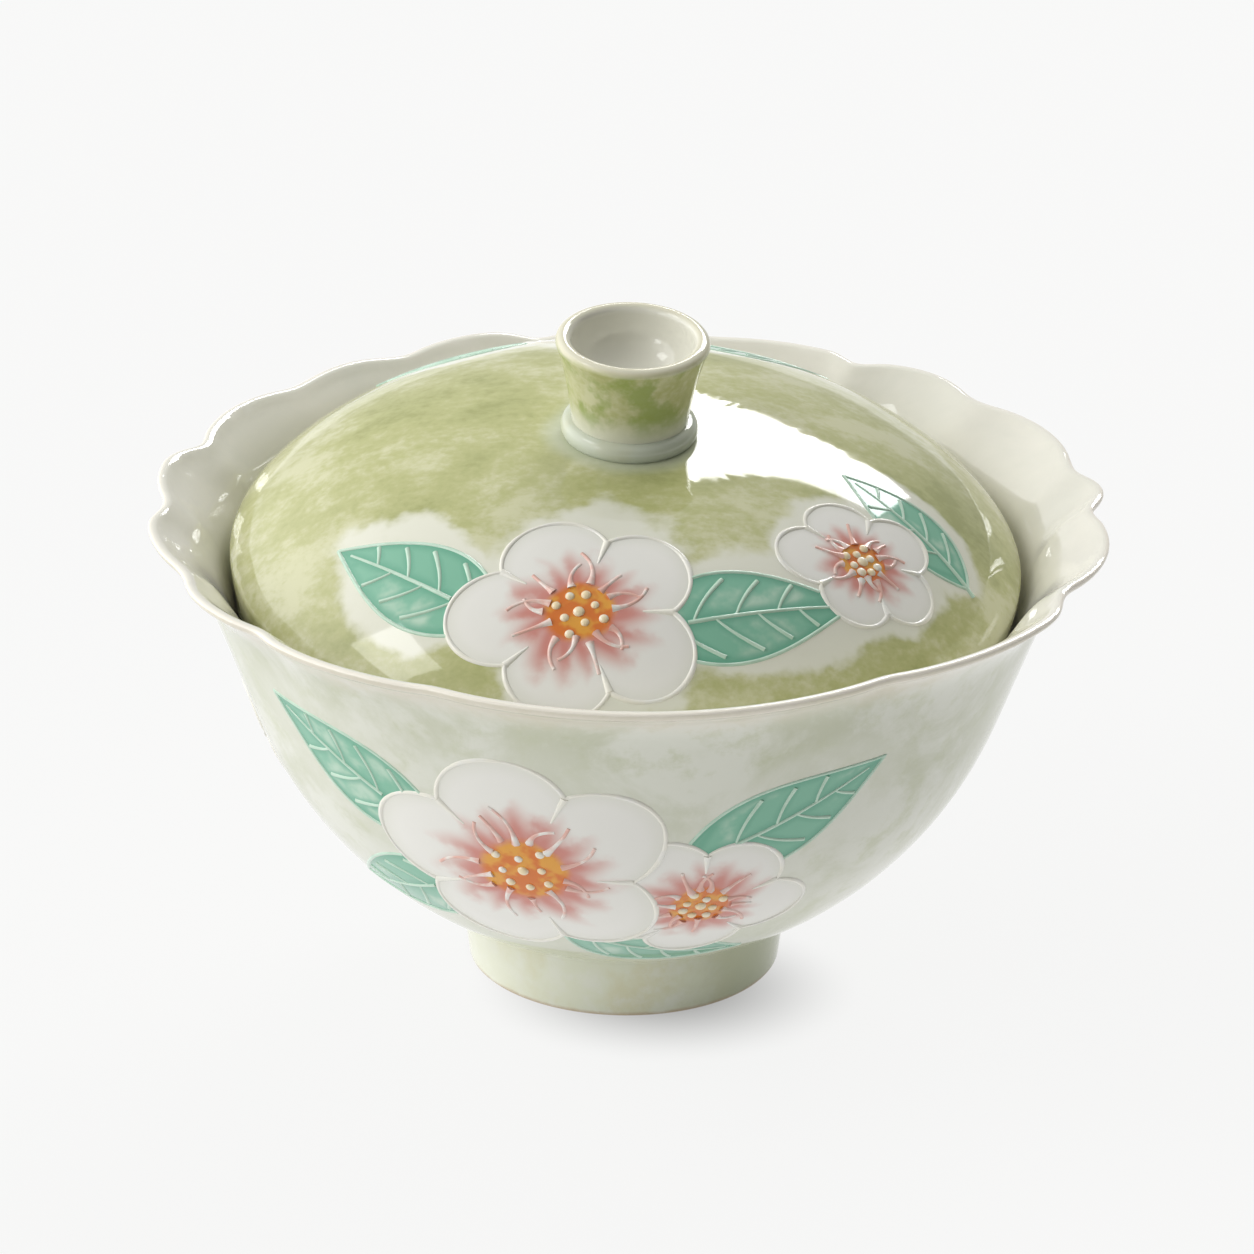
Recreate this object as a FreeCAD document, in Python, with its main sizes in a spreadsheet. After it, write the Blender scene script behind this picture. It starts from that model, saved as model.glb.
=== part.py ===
"""Lidded rice bowl in thin porcelain.

The bowl is a round wall that flares into a ruffled rim, on a plain foot ring.
The lid is a low dome with a small cup for a knob, and a bead of slip round the
knob's root. It lies loose inside the bowl, on its lower edge, a little askew.

Millimetres. +Z is up, and the origin is the centre of the foot ring's lower
face. The front of the bowl faces -Y.
"""
import FreeCAD, Part

import math
import os

import Sketcher
from FreeCAD import Placement, Rotation, Vector

# Driving dimensions: name, value, what it measures. Angles are in degrees.
SIZES = [
    ("foot_tall", 8.8, "height of the foot ring"),
    ("foot_top_radius", 21.5, "outer radius of the foot ring under the bowl"),
    ("foot_taper", 1.15, "how far the foot ring narrows towards the table"),
    ("foot_thick", 4.4, "thickness of the foot ring under the bowl"),
    ("foot_inner_draft", 0.6, "how far the recess opens out towards the table"),
    ("foot_edge_round", 0.7, "rounding of the foot ring's lower edges"),
    ("base_margin", 0.5, "how far the flat underside stands out past the foot"),
    ("well_radius", 19.0, "radius of the flat floor inside the bowl"),
    ("well_thick", 2.8, "thickness of the floor"),
    ("wall", 2.4, "thickness of the bowl's wall"),
    ("lip", 1.1, "thickness of the bowl's rim"),
    ("low_radius", 25.0, "radius of the wall's middle near the foot"),
    ("low_rise", 2.8, "height of that point above the foot"),
    ("hip_radius", 34.9, "radius of the wall's middle at the hip"),
    ("hip_rise", 10.1, "height of the hip above the foot"),
    ("belly_radius", 45.7, "radius of the wall's middle at the belly"),
    ("belly_rise", 24.7, "height of the belly above the foot"),
    ("seat_radius", 50.9, "radius inside the wall where the lid rests"),
    ("seat_rise", 41.2, "height of the lid's rest above the foot"),
    ("seat_slope", 21.0, "lean of the wall away from upright at the rest"),
    ("seat_band", 3.0, "half the height of the straight wall at the rest"),
    ("rim_radius", 61.6, "mean radius of the rim"),
    ("rim_rise", 53.6, "height of the rim above the foot"),
    ("rim_tip", 0.4, "lean of the rim's plane, higher at the front"),
    ("ruffle_start", 46.0, "height above the foot where the ruffle begins"),
    ("lid_wall", 2.3, "thickness of the lid"),
    ("lid_gap", 0.3, "space left between the lid's edge and the bowl"),
    ("lid_rise", 24.65, "height of the lid's crown above the rest"),
    ("shoulder_rise", 6.0, "height of the lid's widest ring above the rest"),
    ("shoulder_over", 0.6, "how far that ring stands out past the rest"),
    ("dome_reach", 28.0, "how far the crown runs out before it falls"),
    ("shoulder_run", 2.3, "length of the upright part of the dome's side"),
    ("crown_flat", 9.6, "radius of the flat that the knob stands on"),
    ("lid_lean", 5.2, "how far the lid dips towards the front"),
    ("lid_roll", 1.6, "how far the lid dips towards its right side"),
    ("knob_root_radius", 7.6, "radius of the knob at its root"),
    ("knob_top_radius", 10.0, "radius of the knob at its lip"),
    ("knob_hollow", 0.2, "how far the knob's side hollows in"),
    ("knob_tall", 14.0, "height of the knob"),
    ("knob_lip", 2.0, "thickness of the knob's lip"),
    ("cup_deep", 7.5, "depth of the hollow in the knob"),
    ("bead_radius", 8.9, "outer radius of the slip bead"),
    ("bead_tall", 2.3, "height of the slip bead"),
    ("knob_aside", 0.3, "how far the knob stands left of the lid's middle"),
]

# The rim's lobes, anticlockwise from above. Each begins in a notch and rises to a
# crest, both in degrees from +X, then falls to the next notch. The last two
# numbers are how far its crest stands out and up from its notches.
LOBES = [
    (-181, -174, 2.3, 0.3),
    (-160, -151, 1.8, 0.4),
    (-141, -131, 1.2, 0.1),
    (-116, -87, 1.6, -0.3),
    (-58, -31, 2.7, 0.0),
    (-22.5, -10, 2.7, 0.1),
    (3.5, 9, 2.6, 0.3),
    (16, 28, 2.0, 0.4),
    (40.5, 50, 2.2, 0.7),
    (60, 69, 0.8, 0.2),
    (80, 90, 0.8, 0.2),
    (101, 109, 2.0, 1.3),
    (122, 128, 1.0, 0.4),
    (136.5, 148, 1.8, 0.6),
    (159, 166, 3.2, 0.5),
]
FULL_TURN = 360
LOBE_FULLNESS = 0.8     # under 1 rounds the crests and sharpens the notches
LOBE_MEAN = 0.6         # share of a lobe's swell that lies inside the mean rim

ON_TABLE = 1e-6         # what lies lower than this lies on the table
LEVEL = 1e-4            # an edge that rises less than this is level

# How finely the bowl's skin is controlled.
COLUMNS = 120           # control columns round the bowl
WALL_STATIONS = 12      # stations up the wall on each side
STATION_CROWDING = 1.7  # over 1 crowds the stations towards the rim


def make_sheet(doc):
    """Keep the driving dimensions in a sheet, one named row each."""
    sheet = doc.addObject("Spreadsheet::Sheet", "sizes")
    for row, (name, value, note) in enumerate(SIZES, start=1):
        sheet.set(f"A{row}", name)
        sheet.set(f"B{row}", str(value))
        sheet.set(f"C{row}", note)
        sheet.setAlias(f"B{row}", name)
    doc.recompute()
    return sheet


def make_body(doc, label):
    """Start a piece turned about the upright axis, with its half-section sketch."""
    body = doc.addObject("PartDesign::Body", label)
    body.Label = label
    upright = [plane for plane in body.Origin.OriginFeatures if plane.Role == "XZ_Plane"][0]
    sketch = body.newObject("Sketcher::SketchObject", f"{label}_section")
    sketch.AttachmentSupport = [(upright, "")]
    sketch.MapMode = "FlatFace"
    return body, sketch


def turn(body, sketch):
    """Turn the half-section all the way round."""
    turned = body.newObject("PartDesign::Revolution", f"{body.Label}_turned")
    turned.Profile = sketch
    turned.ReferenceAxis = (sketch, ["V_Axis"])
    turned.Angle = FULL_TURN
    sketch.Visibility = False
    return turned


def value_of(sketch, expression):
    """The number that an expression on the sheet gives now."""
    return float(sketch.evalExpression(expression))


def hold(sketch, geometry, vertex, radius, height):
    """Tie one point of a sketch to a radius and a height written on the sheet's sizes."""
    for kind, expression, axis in (("DistanceX", radius, -2), ("DistanceY", height, -1)):
        if expression == "0":
            sketch.addConstraint(Sketcher.Constraint("PointOnObject", geometry, vertex, axis))
            continue
        value = value_of(sketch, expression)
        index = sketch.addConstraint(Sketcher.Constraint(kind, -1, 1, geometry, vertex, value))
        sketch.setExpression(f"Constraints[{index}]", expression)


def plot(sketch, point):
    """A sketch vector for a point given by its two expressions."""
    return Vector(value_of(sketch, point[0]), value_of(sketch, point[1]), 0)


def add_cubic(sketch, points):
    """A cubic curve on four control points, of which the first three are held."""
    marks = [
        sketch.addGeometry(Part.Circle(plot(sketch, point), Vector(0, 0, 1), 1.0), True)
        for point in points
    ]
    sketch.addConstraint(Sketcher.Constraint("Weight", marks[0], 1.0))
    for mark in marks[1:]:
        sketch.addConstraint(Sketcher.Constraint("Equal", marks[0], mark))
    for mark, point in zip(marks[:3], points):
        hold(sketch, mark, 3, *point)
    poles = [plot(sketch, point) for point in points]
    curve = sketch.addGeometry(Part.BSplineCurve(poles, None, None, False, 3, None, False))
    for number, mark in enumerate(marks):
        kind = "InternalAlignment:Sketcher::BSplineControlPoint"
        sketch.addConstraint(Sketcher.Constraint(kind, mark, 3, curve, number))
    return curve


def draw_outline(sketch, runs):
    """Draw a closed outline. Each run begins at its first point and ends where the next begins.

    A run of one point is straight, and two more points are the controls of a cubic curve.
    """
    sides = []
    for run, following in zip(runs, runs[1:] + runs[:1]):
        if len(run) == 1:
            ends = (plot(sketch, run[0]), plot(sketch, following[0]))
            side = sketch.addGeometry(Part.LineSegment(*ends))
            hold(sketch, side, 1, *run[0])
        else:
            side = add_cubic(sketch, [*run, following[0]])
        sides.append(side)
    for side, following in zip(sides, sides[1:] + sides[:1]):
        sketch.addConstraint(Sketcher.Constraint("Coincident", side, 2, following, 1))


def half_round(outer, inner, height, bulge):
    """Control points that carry an edge round from one radius to another at one height."""
    reach = f"{height} + ({bulge}) * 4 / 3"
    return (outer, reach), (inner, reach)


def make_foot_ring(doc):
    """The foot: a short ring, a little narrower on the table, open inside."""
    body, sketch = make_body(doc, "foot_ring")
    inner_top = "sizes.foot_top_radius - sizes.foot_thick"
    draw_outline(sketch, [
        [("sizes.foot_top_radius", "sizes.foot_tall")],
        [("sizes.foot_top_radius - sizes.foot_taper", "0")],
        [(f"{inner_top} + sizes.foot_inner_draft", "0")],
        [(inner_top, "sizes.foot_tall")],
    ])
    turned = turn(body, sketch)
    doc.recompute()
    lower_edges = [
        f"Edge{number}"
        for number, edge in enumerate(turned.Shape.Edges, start=1)
        if edge.BoundBox.ZMax < ON_TABLE
    ]
    rounded = body.newObject("PartDesign::Fillet", "foot_ring_edges")
    rounded.Base = (turned, lower_edges)
    rounded.setExpression("Radius", "sizes.foot_edge_round")
    return body


REST = "sizes.foot_tall + sizes.seat_rise"
CROWN = f"{REST} + sizes.lid_rise"


def make_lid_dome(doc):
    """The lid: a low dome whose side turns down to a rounded edge inside the bowl."""
    body, sketch = make_body(doc, "lid_dome")
    half = "sizes.lid_wall / 2"
    clear = f"({half} + sizes.lid_gap)"
    edge_radius = f"sizes.seat_radius - {clear} * cos(sizes.seat_slope * 1 deg)"
    edge_height = f"{REST} + {clear} * sin(sizes.seat_slope * 1 deg)"
    edge_outer = f"{edge_radius} + {half}"
    edge_inner = f"{edge_radius} - {half}"
    shoulder = "sizes.seat_radius + sizes.shoulder_over"
    shoulder_height = f"{REST} + sizes.shoulder_rise"
    upright = f"{shoulder_height} + sizes.shoulder_run"
    tucked = f"{shoulder_height} - sizes.shoulder_run"
    turned_in = f"{edge_height} + sizes.shoulder_run"
    reach = "sizes.crown_flat + sizes.dome_reach"
    draw_outline(sketch, [
        [("0", CROWN)],
        [("sizes.crown_flat", CROWN), (reach, CROWN), (shoulder, upright)],
        [(shoulder, shoulder_height), (shoulder, tucked), (edge_outer, turned_in)],
        [(edge_outer, edge_height), *half_round(edge_outer, edge_inner, edge_height, f"-{half}")],
        [
            (edge_inner, edge_height),
            (edge_inner, turned_in),
            (f"{shoulder} - sizes.lid_wall", tucked),
        ],
        [
            (f"{shoulder} - sizes.lid_wall", shoulder_height),
            (f"{shoulder} - sizes.lid_wall", upright),
            (reach, f"{CROWN} - sizes.lid_wall"),
        ],
        [("0", f"{CROWN} - sizes.lid_wall")],
    ])
    turn(body, sketch)
    return body


def make_lid_knob(doc):
    """The knob: a small flared cup, solid below its hollow."""
    body, sketch = make_body(doc, "lid_knob")
    top = f"{CROWN} + sizes.knob_tall"
    middle = f"{CROWN} + sizes.knob_tall / 2"
    flare = "(sizes.knob_top_radius - sizes.knob_root_radius) / 3"
    lip_height = f"{top} - sizes.knob_lip / 2"
    mouth = "sizes.knob_top_radius - sizes.knob_lip"
    cup_floor = f"{top} - sizes.cup_deep"
    draw_outline(sketch, [
        [("0", CROWN)],
        [("sizes.knob_root_radius", CROWN)],
        [
            ("sizes.knob_root_radius", f"{CROWN} + sizes.bead_tall"),
            (f"sizes.knob_root_radius + {flare} - sizes.knob_hollow", middle),
            (f"sizes.knob_top_radius - {flare} - sizes.knob_hollow", f"{top} - sizes.knob_tall / 4"),
        ],
        [
            ("sizes.knob_top_radius", lip_height),
            *half_round("sizes.knob_top_radius", mouth, lip_height, "sizes.knob_lip / 2"),
        ],
        [
            (mouth, lip_height),
            (mouth, f"{cup_floor} + sizes.cup_deep / 3"),
            (f"({mouth}) * 2 / 3", cup_floor),
        ],
        [("0", cup_floor)],
    ])
    turn(body, sketch)
    return body


def make_knob_bead(doc):
    """The bead of slip that joins the knob's root to the crown."""
    body, sketch = make_body(doc, "knob_bead")
    bead_top = f"{CROWN} + sizes.bead_tall"
    draw_outline(sketch, [
        [("sizes.knob_root_radius", CROWN)],
        [
            ("sizes.bead_radius - sizes.bead_tall / 8", CROWN),
            ("sizes.bead_radius + sizes.bead_tall / 8", f"{CROWN} + sizes.bead_tall / 4"),
            ("sizes.bead_radius", bead_top),
        ],
        [("sizes.knob_root_radius", bead_top)],
    ])
    turn(body, sketch)
    return body


def smooth_step(share):
    """Ease from 0 to 1."""
    share = min(max(share, 0.0), 1.0)
    return share * share * (3 - 2 * share)


def lobe_swell(angle):
    """How far the rim stands out and up in one direction, in degrees."""
    first = LOBES[0][0]
    ends = [lobe[0] for lobe in LOBES[1:]] + [first + FULL_TURN]
    turned = (angle - first) % FULL_TURN + first
    for (start, crest, out, up), end in zip(LOBES, ends):
        if turned > end:
            continue
        if turned < crest:
            along = (turned - start) / (crest - start) / 2
        else:
            along = 1 - (end - turned) / (end - crest) / 2
        swell = math.sin(math.pi * along) ** LOBE_FULLNESS - LOBE_MEAN
        return Vector(out * swell, 0, up * swell)
    raise ValueError(f"no lobe at {angle} degrees")


def section_curve(points):
    """A smooth curve through points of the wall's half-section."""
    curve = Part.BSplineCurve()
    curve.interpolate([Vector(radius, 0, height) for radius, height in points])
    return curve


def wall_section(size):
    """The bowl's half-section, from the underside out over the lip and down to the floor."""
    foot = size["foot_tall"]
    slope = math.radians(size["seat_slope"])
    half_wall = size["wall"] / 2
    half_lip = size["lip"] / 2
    seat_radius = size["seat_radius"] + half_wall * math.cos(slope)
    seat_height = foot + size["seat_rise"] - half_wall * math.sin(slope)
    rim_height = foot + size["rim_rise"]
    band = size["seat_band"]
    band_top = seat_height + band
    middle = section_curve([
        (size["low_radius"], foot + size["low_rise"]),
        (size["hip_radius"], foot + size["hip_rise"]),
        (size["belly_radius"], foot + size["belly_rise"]),
        (seat_radius - band * math.tan(slope), seat_height - band),
        (seat_radius, seat_height),
        (seat_radius + band * math.tan(slope), band_top),
        (size["rim_radius"] - half_lip, rim_height),
    ])
    outer = [(size["foot_top_radius"] + size["base_margin"], foot)]
    inner = [(size["well_radius"], foot + size["well_thick"])]
    for station in range(WALL_STATIONS):
        along = 1 - (1 - station / (WALL_STATIONS - 1)) ** STATION_CROWDING
        parameter = middle.FirstParameter + along * (middle.LastParameter - middle.FirstParameter)
        point = middle.value(parameter)
        forward = middle.tangent(parameter)[0]
        thinning = smooth_step((point.z - band_top) / (rim_height - band_top))
        half = half_wall + (half_lip - half_wall) * thinning
        outer.append((point.x + half * forward.z, point.z - half * forward.x))
        inner.append((point.x - half * forward.z, point.z + half * forward.x))
    tip = point + forward * half_lip
    return section_curve([*outer, (tip.x, tip.z), *reversed(inner)])


def sharpen(columns):
    """Push each control column out so that the skin passes close to where the column stood."""
    before = columns[-1:] + columns[:-1]
    after = columns[1:] + columns[:1]
    return [
        [here * (4 / 3) - (left + right) / 6 for left, here, right in zip(*near)]
        for near in zip(before, columns, after)
    ]


def make_bowl_wall(doc, size):
    """The bowl: one skin of revolution whose rim swells and dips, closed by two flat discs."""
    section = wall_section(size)
    rim = size["foot_tall"] + size["rim_rise"]
    ruffle_start = size["foot_tall"] + size["ruffle_start"]
    lean = math.tan(math.radians(size["rim_tip"]))
    columns = []
    for column in range(COLUMNS):
        angle = FULL_TURN * column / COLUMNS
        swell = lobe_swell(angle)
        across = Vector(math.cos(math.radians(angle)), math.sin(math.radians(angle)), 0)
        points = []
        for pole in section.getPoles():
            share = smooth_step((pole.z - ruffle_start) / (rim - ruffle_start))
            radius = pole.x + share * swell.x
            height = pole.z + share * (swell.z - lean * radius * across.y)
            points.append(across * radius + Vector(0, 0, height))
        columns.append(points)
    skin = Part.BSplineSurface()
    round_knots = list(range(COLUMNS + 1))
    skin.buildFromPolesMultsKnots(
        sharpen(columns),
        [1] * (COLUMNS + 1),
        section.getMultiplicities(),
        round_knots,
        section.getKnots(),
        True,
        False,
        3,
        section.Degree,
    )
    face = skin.toShape()
    rings = [edge for edge in face.Edges if edge.BoundBox.ZLength < LEVEL]
    discs = [Part.Face(Part.Wire(ring)) for ring in rings]
    closed = Part.makeCompound([face, *discs])
    closed.sewShape()
    solid = Part.makeSolid(closed.Shells[0])
    if solid.Volume < 0:
        solid.reverse()
    wall = doc.addObject("Part::Feature", "bowl_wall")
    wall.Label = "bowl_wall"
    wall.Shape = solid
    wall.Placement = Placement()
    return wall


def lid_placement(size):
    """Rock the lid on the wall about the point where the wall's normals at the rest meet."""
    slope = math.tan(math.radians(size["seat_slope"]))
    rest = size["foot_tall"] + size["seat_rise"]
    centre = Vector(0, 0, rest + size["seat_radius"] * slope)
    lean = Rotation(Vector(1, 0, 0), size["lid_lean"])
    roll = Rotation(Vector(0, 1, 0), size["lid_roll"])
    return Placement(Vector(), roll.multiply(lean), centre)


def check_and_export(doc, pieces):
    """Stop on any object that failed, then write each piece to its own file."""
    for thing in doc.Objects:
        if "Invalid" in thing.State or "Error" in thing.State:
            raise RuntimeError(f"{thing.Label} is {thing.State}")
    for piece in pieces:
        if piece.Shape.isNull() or not piece.Shape.isValid():
            raise RuntimeError(f"{piece.Label} has no valid shape")
    os.makedirs("parts", exist_ok=True)
    for piece in pieces:
        piece.Shape.exportStep(f"parts/{piece.Label}.step")
        print(piece.Label, round(piece.Shape.Volume), "mm3", piece.Shape.BoundBox)


def main():
    doc = FreeCAD.newDocument("rice_bowl")
    sheet = make_sheet(doc)
    size = {name: float(sheet.get(name)) for name, _, _ in SIZES}
    wall = make_bowl_wall(doc, size)
    foot = make_foot_ring(doc)
    dome = make_lid_dome(doc)
    knob = make_lid_knob(doc)
    bead = make_knob_bead(doc)
    dome.Placement = lid_placement(size)
    aside = Placement(Vector(-size["knob_aside"], 0, 0), Rotation())
    for piece in (knob, bead):
        piece.Placement = dome.Placement.multiply(aside)
    doc.recompute()
    check_and_export(doc, [wall, foot, dome, knob, bead])


main()
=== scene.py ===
"""Lidded rice bowl: glazes, underglaze colours and raised slip, on the modelled pieces.

Metres. +Z is up, the bowl stands on Z = 0 and its front faces -Y. Flowers and
leaves are laid out once, as motifs. The glazes colour them in, and trails of
slip are drawn along the same outlines.
"""
import math
from collections import namedtuple

import bpy
from bpy.props import FloatProperty, FloatVectorProperty, PointerProperty
from bpy.types import Operator, Panel, PropertyGroup
from mathutils import Euler, Matrix, Vector
from mathutils.bvhtree import BVHTree


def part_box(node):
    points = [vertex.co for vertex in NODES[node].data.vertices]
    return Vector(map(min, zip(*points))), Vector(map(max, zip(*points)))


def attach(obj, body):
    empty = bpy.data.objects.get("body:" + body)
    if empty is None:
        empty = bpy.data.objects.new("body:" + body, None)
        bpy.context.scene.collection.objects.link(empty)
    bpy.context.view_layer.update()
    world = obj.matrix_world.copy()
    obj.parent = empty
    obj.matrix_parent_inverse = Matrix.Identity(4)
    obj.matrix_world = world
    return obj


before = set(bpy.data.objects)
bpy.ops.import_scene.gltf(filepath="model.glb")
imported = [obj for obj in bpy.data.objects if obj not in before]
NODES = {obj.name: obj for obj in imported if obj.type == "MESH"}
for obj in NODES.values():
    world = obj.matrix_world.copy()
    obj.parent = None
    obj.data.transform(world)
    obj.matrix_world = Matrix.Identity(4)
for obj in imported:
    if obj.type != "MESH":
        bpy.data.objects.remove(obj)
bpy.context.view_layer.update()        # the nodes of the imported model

bl_info = {
    "name": "Lidded Rice Bowl",
    "version": (1, 0, 0),
    "blender": (4, 5, 0),
    "location": "View3D > Sidebar > Rice Bowl",
    "description": "Glazes a lidded rice bowl and trails raised slip flowers over it",
    "category": "Object",
}

MM = 0.001

# The lid lies askew in the bowl: it dips to the front and to its right side.
LID_LEAN = math.radians(5.2)
LID_ROLL = math.radians(1.6)
LID_TURN = Euler((LID_LEAN, LID_ROLL, 0.0), "XYZ").to_matrix()
LID_AXIS = LID_TURN @ Vector((0, 0, 1))

# Each motif: kind, the way round in degrees from +X, its place up the bowl's wall
# or out from the lid's middle in mm, its radius or half length in mm, and its turn.
BOWL_MOTIFS = [
    ("leaf", -133, 43, 15, 150),
    ("leaf", -131, 24, 14, 205),
    ("leaf", -66, 41, 15, 28),
    ("leaf", -84, 17, 13, -22),
    ("blossom", -77, 27, 14, 20),
    ("blossom", -106, 33, 20, -8),
    ("leaf", 58, 40, 14, 20),
    ("leaf", 112, 32, 14, 165),
    ("blossom", 84, 35, 17, 12),
    ("leaf", 12, 44, 12, 60),
    ("leaf", 171, 43, 12, 128),
    ("blossom", 182, 34, 10, 5),
]
LID_MOTIFS = [
    ("leaf", -66, 38, 15, -4),
    ("leaf", -133, 39, 14, 182),
    ("blossom", -99, 37, 16, 10),
    ("leaf", -16, 38, 11, 75),
    ("blossom", -35, 37, 11, 30),
    ("leaf", 69, 38, 12, 28),
    ("leaf", 119, 41, 13, 168),
    ("blossom", 93, 39, 12, 50),
]

# A blossom is five round petals, in shares of its radius.
PETALS = 5
PETAL_REACH = 0.56      # how far each petal's middle stands out
PETAL_ROUND = 0.44      # radius of each petal
WAVER = 0.035           # how far the outline strays from a true flower
HEART = 0.27            # radius of the orange heart
STAMENS = 14
HEART_DOTS = 9
FOLD_LENGTH = 0.32      # how far the fold between two petals runs in from the outline

# How finely the trails follow their curves.
OUTLINE_STEPS = 260
FOLD_STOPS = (0, 0.15, 0.3, 0.45, 0.6, 0.75, 0.9, 1)
STAMEN_STEPS = 16
LEAF_STEPS = 70
MIDRIB_STEPS = 40
VEIN_STEP = 0.02

SLIP_SINK = 0.5         # how far a trail of slip is sunk in the glaze, in shares of its radius

# The ground stays white round the motifs, from and to these shares of their sizes.
CLEAR_START = 0.9
CLEAR_END = 1.3
CLEAR_NARROW = 0.62     # how narrow the white round a leaf is

# How deep the surface of each glaze swells, and how wide its swells are.
THIN_GLAZE = 0.04 * MM
KNOB_GLAZE = 0.06 * MM
FULL_GLAZE = 0.1 * MM
SLIP_GLAZE = 0.005 * MM
SWELL = 11 * MM

# Where the bowl's colours ease over: how far under the rim's highest point, and for the painted shade
# that darkens the outside low down, how high above the table.
BLUSH_START = 6.4 * MM
BLUSH_END = 1.4 * MM
LIP_START = 4.4 * MM
LIP_END = 2.9 * MM
# The next two bound painted light that makes the inside lighter lower down.
LIT_DEEP_START = 4.4 * MM
LIT_DEEP_END = 18.4 * MM
LOW_SHADE_START = 30 * MM
LOW_SHADE_END = 10 * MM

# A leaf is a pointed oval, in shares of its half length.
LEAF_WIDE = 0.46
LEAF_BLUNT = 0.8        # under 1 widens it near the stalk
VEIN_SPACE = 0.38       # from one side vein to the next
VEIN_SLANT = 0.55       # how far a side vein runs on towards the tip
VEIN_BOW = 1.1          # how far it bends on the way
STALK = 0.12            # how far the midrib runs out past the leaf

# Each softbox: its way round and its elevation in degrees, its distance, width and
# height in metres, and how far it is turned in its own plane, in degrees.
Softbox = namedtuple("Softbox", "way elevation distance width height turn")
SOFTBOXES = {
    "back": Softbox(72.4, 32.9, 4.0, 1.85, 0.93, 11.0),
    "side": Softbox(-172, 46, 3.0, 0.9, 0.8, 0.0),
    "front": Softbox(-140, 22, 3.0, 0.6, 0.45, 0.0),
}

# A shadow of the foot is painted into the floor's glow softly beside it, most at the front right. This
# painted shadow has its middle so far right and in front of the foot's middle, and fades out at its
# reach.
SHADE_RIGHT = 5.5 * MM
SHADE_FRONT = 11.6 * MM
SHADE_REACH = 22.5 * MM
SHADE_SPREAD = 0.85     # under 1 draws it out across
SHADE_COLOUR = (0.34, 0.34, 0.335)
FLOOR_COLOUR = (1.0, 1.0, 0.995)
FLOOR_HALF = 4.0        # half the floor's width

AIM_SIDE = -0.09 * MM   # how far right of the middle the camera looks


class Field:
    """A number, colour or vector that changes over a surface: one output of a node."""

    def __init__(self, shader, made, output=0):
        self.shader = shader
        self.made = made
        self.output = output

    def __getitem__(self, output):
        return Field(self.shader, self.made, output)

    @property
    def socket(self):
        return self.made.outputs[self.output]

    def __add__(self, other):
        return self.shader.maths("ADD", self, other)

    __radd__ = __add__

    def __sub__(self, other):
        return self.shader.maths("SUBTRACT", self, other)

    def __rsub__(self, other):
        return self.shader.maths("SUBTRACT", other, self)

    def __mul__(self, other):
        return self.shader.maths("MULTIPLY", self, other)

    __rmul__ = __mul__

    def __truediv__(self, other):
        return self.shader.maths("DIVIDE", self, other)

    def __rtruediv__(self, other):
        return self.shader.maths("DIVIDE", other, self)

    def __pow__(self, other):
        return self.shader.maths("POWER", self, other)

    def __abs__(self):
        return self.shader.maths("ABSOLUTE", self)


class Shader:
    """A node tree of a material or a group, with one method that adds any node."""

    def __init__(self, tree):
        self.tree = tree
        tree.nodes.clear()

    def node(self, kind, settings=None, values=None, output=0):
        """Add a node: its settings first, then the values or links of its sockets."""
        made = self.tree.nodes.new(kind)
        for name, value in (settings or {}).items():
            setattr(made, name, value)
        for name, value in (values or {}).items():
            if isinstance(value, Field):
                self.tree.links.new(value.socket, made.inputs[name])
            else:
                made.inputs[name].default_value = value
        return Field(self, made, output)

    def maths(self, operation, *values):
        """A Math node on one number or more."""
        return self.node("ShaderNodeMath", {"operation": operation}, dict(enumerate(values)))

    def parts(self, vector):
        """The three numbers of a vector."""
        split = self.node("ShaderNodeSeparateXYZ", None, {"Vector": vector})
        return [split[axis] for axis in "XYZ"]

    def mix(self, share, one, other):
        """Blend two colours."""
        settings = {"data_type": "RGBA", "clamp_factor": True}
        return self.node("ShaderNodeMix", settings, {0: share, 6: colour(one), 7: colour(other)}, 2)

    def step(self, value, start, end):
        """Ease from 0 where the value is at its start to 1 where it is at its end."""
        settings = {"interpolation_type": "SMOOTHSTEP"}
        values = {"Value": value, "From Min": start, "From Max": end}
        return self.node("ShaderNodeMapRange", settings, values)

    def noise(self, vector, size, detail=3.0, roughness=0.5, distortion=0.0):
        """Cloudy variation, from 0 to 1, with patches of about one size."""
        values = {
            "Vector": vector,
            "Scale": 1 / size,
            "Detail": detail,
            "Roughness": roughness,
            "Distortion": distortion,
        }
        return self.node("ShaderNodeTexNoise", None, values)

    def placed(self, vector, matrix, size=(1.0, 1.0, 1.0)):
        """The same place as seen from a frame of its own, in shares of a size."""
        values = {
            "Vector": vector,
            "Location": matrix.to_translation(),
            "Rotation": matrix.to_euler(),
            "Scale": size,
        }
        return self.node("ShaderNodeMapping", {"vector_type": "TEXTURE"}, values)


def colour(value):
    """A colour that a socket takes."""
    return value if isinstance(value, Field) else (*value, 1.0)


def lean_on(surface, start, towards):
    """The point and the outward normal where a straight line first meets a surface."""
    place, normal, _, _ = surface.ray_cast(start, towards)
    if place is None:
        raise RuntimeError(f"nothing lies under {tuple(start)}")
    return place, normal


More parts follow.
